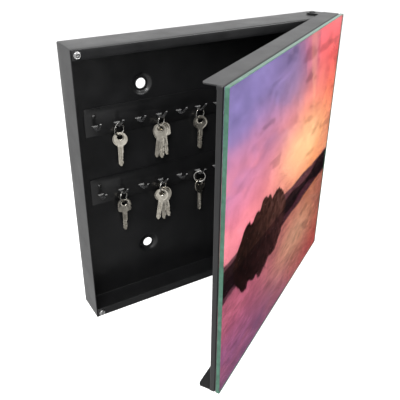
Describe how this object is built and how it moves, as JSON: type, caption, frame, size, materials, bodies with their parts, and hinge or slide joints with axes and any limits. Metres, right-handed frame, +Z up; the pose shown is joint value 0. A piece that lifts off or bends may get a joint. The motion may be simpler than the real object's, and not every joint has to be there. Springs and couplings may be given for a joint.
{
  "type": "wall key cabinet",
  "caption": "Square wall key cabinet: folded steel box with two hook rails of hung keys and a part-open swinging door faced with a printed glass panel.",
  "frame": {"origin": "on the wall plane, in the middle of the four dimple pads on the back", "axes": "+Y into the wall, +Z up, +X towards the hinge side; the door front faces -Y when shut"},
  "size_m": [0.314, 0.1976, 0.3024],
  "materials": {
    "black_powder_coat": "fine satin powder coat",
    "rail_powder_coat": "fine satin powder coat",
    "tray_powder_coat": "fine satin powder coat",
    "tempered_glass": "polished, faint green edge",
    "printed_film": "printed picture behind the glass",
    "foam_tape": "matt foam",
    "nickel_magnet": "nickel plated",
    "black_zinc_pin": "black zinc",
    "nylon_washer": "matt",
    "spring_steel": "plain",
    "dark_rivet": "dark",
    "nickel_wire": "nickel plated wire",
    "nickel_silver": "milled nickel silver"
  },
  "bodies": {
    "cabinet": {"cabinet_shell": "black_powder_coat", "hook_rail_upper": "rail_powder_coat", "hook_rail_lower": "rail_powder_coat", "rail_rivet_upper_left": "dark_rivet", "rail_rivet_upper_right": "dark_rivet", "rail_rivet_lower_left": "dark_rivet", "rail_rivet_lower_right": "dark_rivet", "catch_magnet_upper": "nickel_magnet", "catch_magnet_lower": "nickel_magnet", "hinge_pin_upper": "black_zinc_pin", "hinge_pin_lower": "black_zinc_pin", "hinge_washer_upper": "nylon_washer", "hinge_washer_lower": "nylon_washer", "pin_retainer_upper": "spring_steel", "pin_retainer_lower": "spring_steel"},
    "door": {"door_tray": "tray_powder_coat", "glass_panel": "tempered_glass", "printed_film": "printed_film", "glass_tape": "foam_tape"},
    "set_a": {"set_a_ring": "nickel_wire", "set_a_key_1": "nickel_silver"},
    "set_b": {"set_b_ring": "nickel_wire", "set_b_key_1": "nickel_silver", "set_b_key_2": "nickel_silver", "set_b_key_3": "nickel_silver"},
    "set_c": {"set_c_ring": "nickel_wire", "set_c_key_1": "nickel_silver"},
    "set_d": {"set_d_ring": "nickel_wire", "set_d_key_1": "nickel_silver"},
    "set_e": {"set_e_ring": "nickel_wire", "set_e_key_1": "nickel_silver", "set_e_key_2": "nickel_silver", "set_e_key_3": "nickel_silver"},
    "set_f": {"set_f_ring": "nickel_wire", "set_f_key_1": "nickel_silver"}
  },
  "joints": [
    {"name": "door_hinge", "type": "hinge", "parent": "cabinet", "child": "door", "pos_m": [0.14, -0.0185, 0], "axis": [0, 0, 1], "range_deg": [-31.45, 68.55]},
    {"name": "set_a_swing", "type": "hinge", "parent": "cabinet", "child": "set_a", "pos_m": [-0.096, -0.0106, 0.05497], "axis": [-0.3746, 0.9272, 0], "range_deg": [-15, 15]},
    {"name": "set_b_swing", "type": "hinge", "parent": "cabinet", "child": "set_b", "pos_m": [-0.048, -0.0106, 0.05509], "axis": [-0.5592, 0.829, 0], "range_deg": [-10, 10]},
    {"name": "set_c_swing", "type": "hinge", "parent": "cabinet", "child": "set_c", "pos_m": [0, -0.0106, 0.05495], "axis": [-0.342, 0.9397, 0], "range_deg": [-15, 15]},
    {"name": "set_d_swing", "type": "hinge", "parent": "cabinet", "child": "set_d", "pos_m": [-0.096, -0.0106, -0.02221], "axis": [-0.5592, 0.829, 0], "range_deg": [-12, 12]},
    {"name": "set_e_swing", "type": "hinge", "parent": "cabinet", "child": "set_e", "pos_m": [-0.048, -0.0106, -0.02221], "axis": [-0.5592, 0.829, 0], "range_deg": [-10, 10]},
    {"name": "set_f_swing", "type": "hinge", "parent": "cabinet", "child": "set_f", "pos_m": [0, -0.0106, -0.02225], "axis": [0.515, 0.8572, 0], "range_deg": [-12, 12]}
  ]
}
